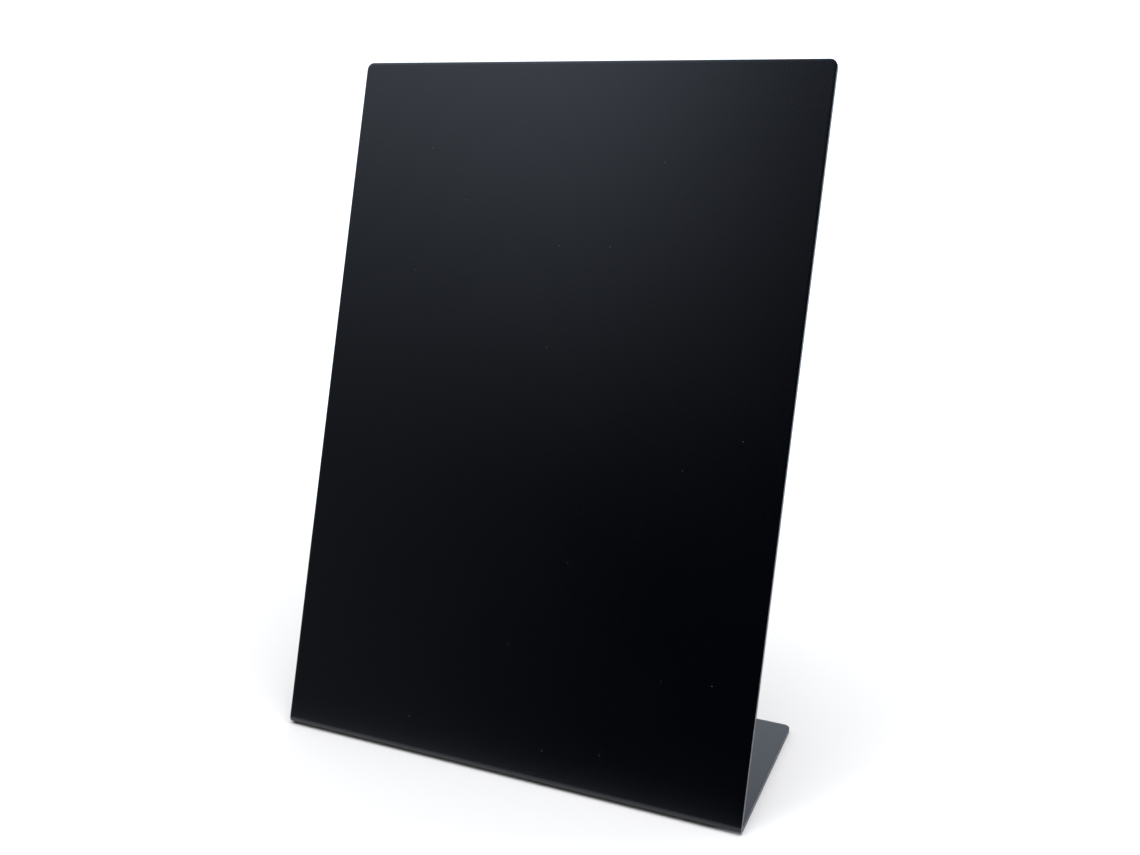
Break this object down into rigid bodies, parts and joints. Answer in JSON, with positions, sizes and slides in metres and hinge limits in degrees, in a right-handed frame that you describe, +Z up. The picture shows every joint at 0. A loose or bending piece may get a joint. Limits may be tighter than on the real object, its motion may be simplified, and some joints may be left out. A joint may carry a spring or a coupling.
{
  "type": "sign stand",
  "caption": "Freestanding tabletop sign stand: a plain upright panel that leans back on a flat foot folded from the same composite sheet.",
  "frame": {"origin": "on the ground, at the centre of the bounding box's underside", "axes": "+X across the width, to the right of someone reading the sign; +Y towards the back, the way the foot runs; +Z up. The sign face looks towards -Y."},
  "size_m": [0.21, 0.0938, 0.2861],
  "materials": {
    "black_coated_skin": "satin",
    "black_core": "matt, machined edge",
    "pad_rubber": "matt"
  },
  "bodies": {
    "root": {"outer_skin": "black_coated_skin", "panel_core": "black_core", "panel_rear_skin": "black_coated_skin", "foot_core": "black_core", "foot_top_skin": "black_coated_skin", "pad_front_left": "pad_rubber", "pad_front_right": "pad_rubber", "pad_rear_left": "pad_rubber", "pad_rear_right": "pad_rubber"}
  },
  "joints": []
}
